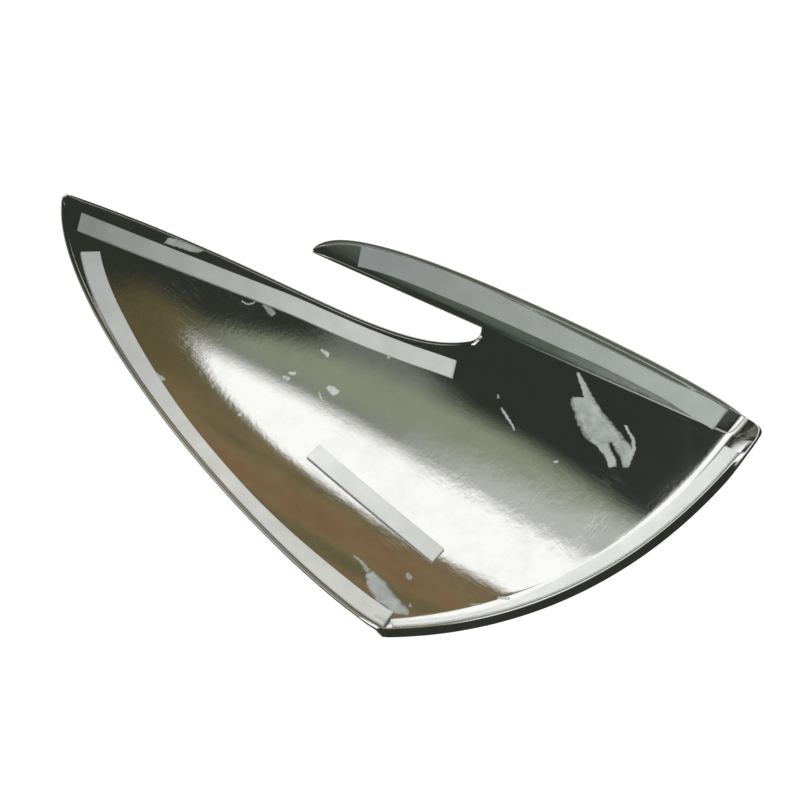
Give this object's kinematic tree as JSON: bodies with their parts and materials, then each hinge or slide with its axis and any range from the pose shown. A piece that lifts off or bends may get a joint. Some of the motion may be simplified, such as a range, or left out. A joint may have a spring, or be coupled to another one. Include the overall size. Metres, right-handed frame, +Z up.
{
  "type": "wing mirror cover",
  "caption": "Chrome-plated stick-on cover for a car's wing mirror: a shallow pointed shell with a slot for the turn-signal lamp, and foam tape with liners inside.",
  "frame": {"origin": "middle of the cover's box in plan, at the level of the surface it lies on", "axes": "+X along the cover to its outer end, +Y across it to the arm, +Z up, the side that the hollow faces"},
  "size_m": [0.2382, 0.1268, 0.0312],
  "materials": {
    "chrome": "bright chrome plate on plastic, lightly scuffed, with dried smears of adhesive",
    "foam": "white closed-cell foam tape",
    "liner": "smooth pale release liner"
  },
  "bodies": {
    "root": {"cover_shell": "chrome", "foam_seam_edge": "foam", "liner_seam_edge": "liner", "foam_glass_edge": "foam", "liner_glass_edge": "liner", "foam_outer_end": "foam", "liner_outer_end": "liner", "foam_arm": "foam", "liner_arm": "liner", "foam_middle": "foam", "liner_middle": "liner"}
  },
  "joints": []
}
